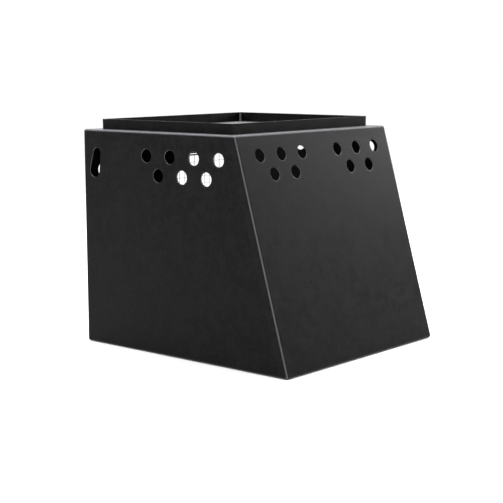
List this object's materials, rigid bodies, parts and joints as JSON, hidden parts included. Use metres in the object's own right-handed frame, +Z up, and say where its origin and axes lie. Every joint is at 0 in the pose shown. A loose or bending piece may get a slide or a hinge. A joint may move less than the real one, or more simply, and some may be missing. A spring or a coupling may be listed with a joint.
{
  "type": "vented sheet steel box",
  "caption": "Black folded-steel box with a slanted front, vent holes, hanging slots, a raised collar round its flat deck and a hinged mesh door with a slide bolt.",
  "frame": {"origin": "middle of the footprint on the ground, counted over the latch that stands proud of the back", "axes": "+Z up, -Y towards the slanted front, +Y towards the back with the door, -X towards the left side"},
  "size_m": [0.38, 0.4342, 0.364],
  "materials": {
    "deck_paint": "satin fine-texture black powder coat",
    "front_paint": "satin fine-texture black powder coat",
    "side_paint": "satin fine-texture black powder coat",
    "back_paint": "satin fine-texture black powder coat",
    "floor_paint": "satin fine-texture black powder coat",
    "collar_paint": "satin fine-texture black powder coat",
    "weld_paint": "satin black powder coat over ground weld",
    "stop_paint": "satin black powder coat",
    "door_rod": "bright zinc plate",
    "mesh_wire": "galvanised",
    "clip_steel": "bright zinc plate",
    "rivet_steel": "plain steel",
    "latch_plate_steel": "bright zinc plate",
    "bolt_steel": "bright zinc plate"
  },
  "bodies": {
    "box": {"deck_panel": "deck_paint", "front_panel": "front_paint", "left_side": "side_paint", "right_side": "side_paint", "back_panel": "back_paint", "floor_panel": "floor_paint", "collar_left": "collar_paint", "collar_right": "collar_paint", "collar_front": "collar_paint", "collar_back": "collar_paint", "collar_corner_welds": "weld_paint", "hinge_clips": "clip_steel", "hinge_rivets": "rivet_steel", "door_stops": "stop_paint", "latch_keeper": "latch_plate_steel", "keeper_rivets": "rivet_steel"},
    "door": {"door_frame": "door_rod", "door_upright_wires": "mesh_wire", "door_cross_wires": "mesh_wire", "latch_plate": "latch_plate_steel", "latch_guides": "latch_plate_steel"},
    "bolt": {"latch_bolt": "bolt_steel", "latch_handle": "bolt_steel"}
  },
  "joints": [
    {"name": "door_hinge", "type": "hinge", "parent": "box", "child": "door", "pos_m": [0.1622, 0.20632, 0.1615], "axis": [0, 0, -1], "range_deg": [0, 115]},
    {"name": "bolt_slide", "type": "slide", "parent": "door", "child": "bolt", "axis": [-1, 0, 0], "range_m": [0, 0.016]}
  ]
}
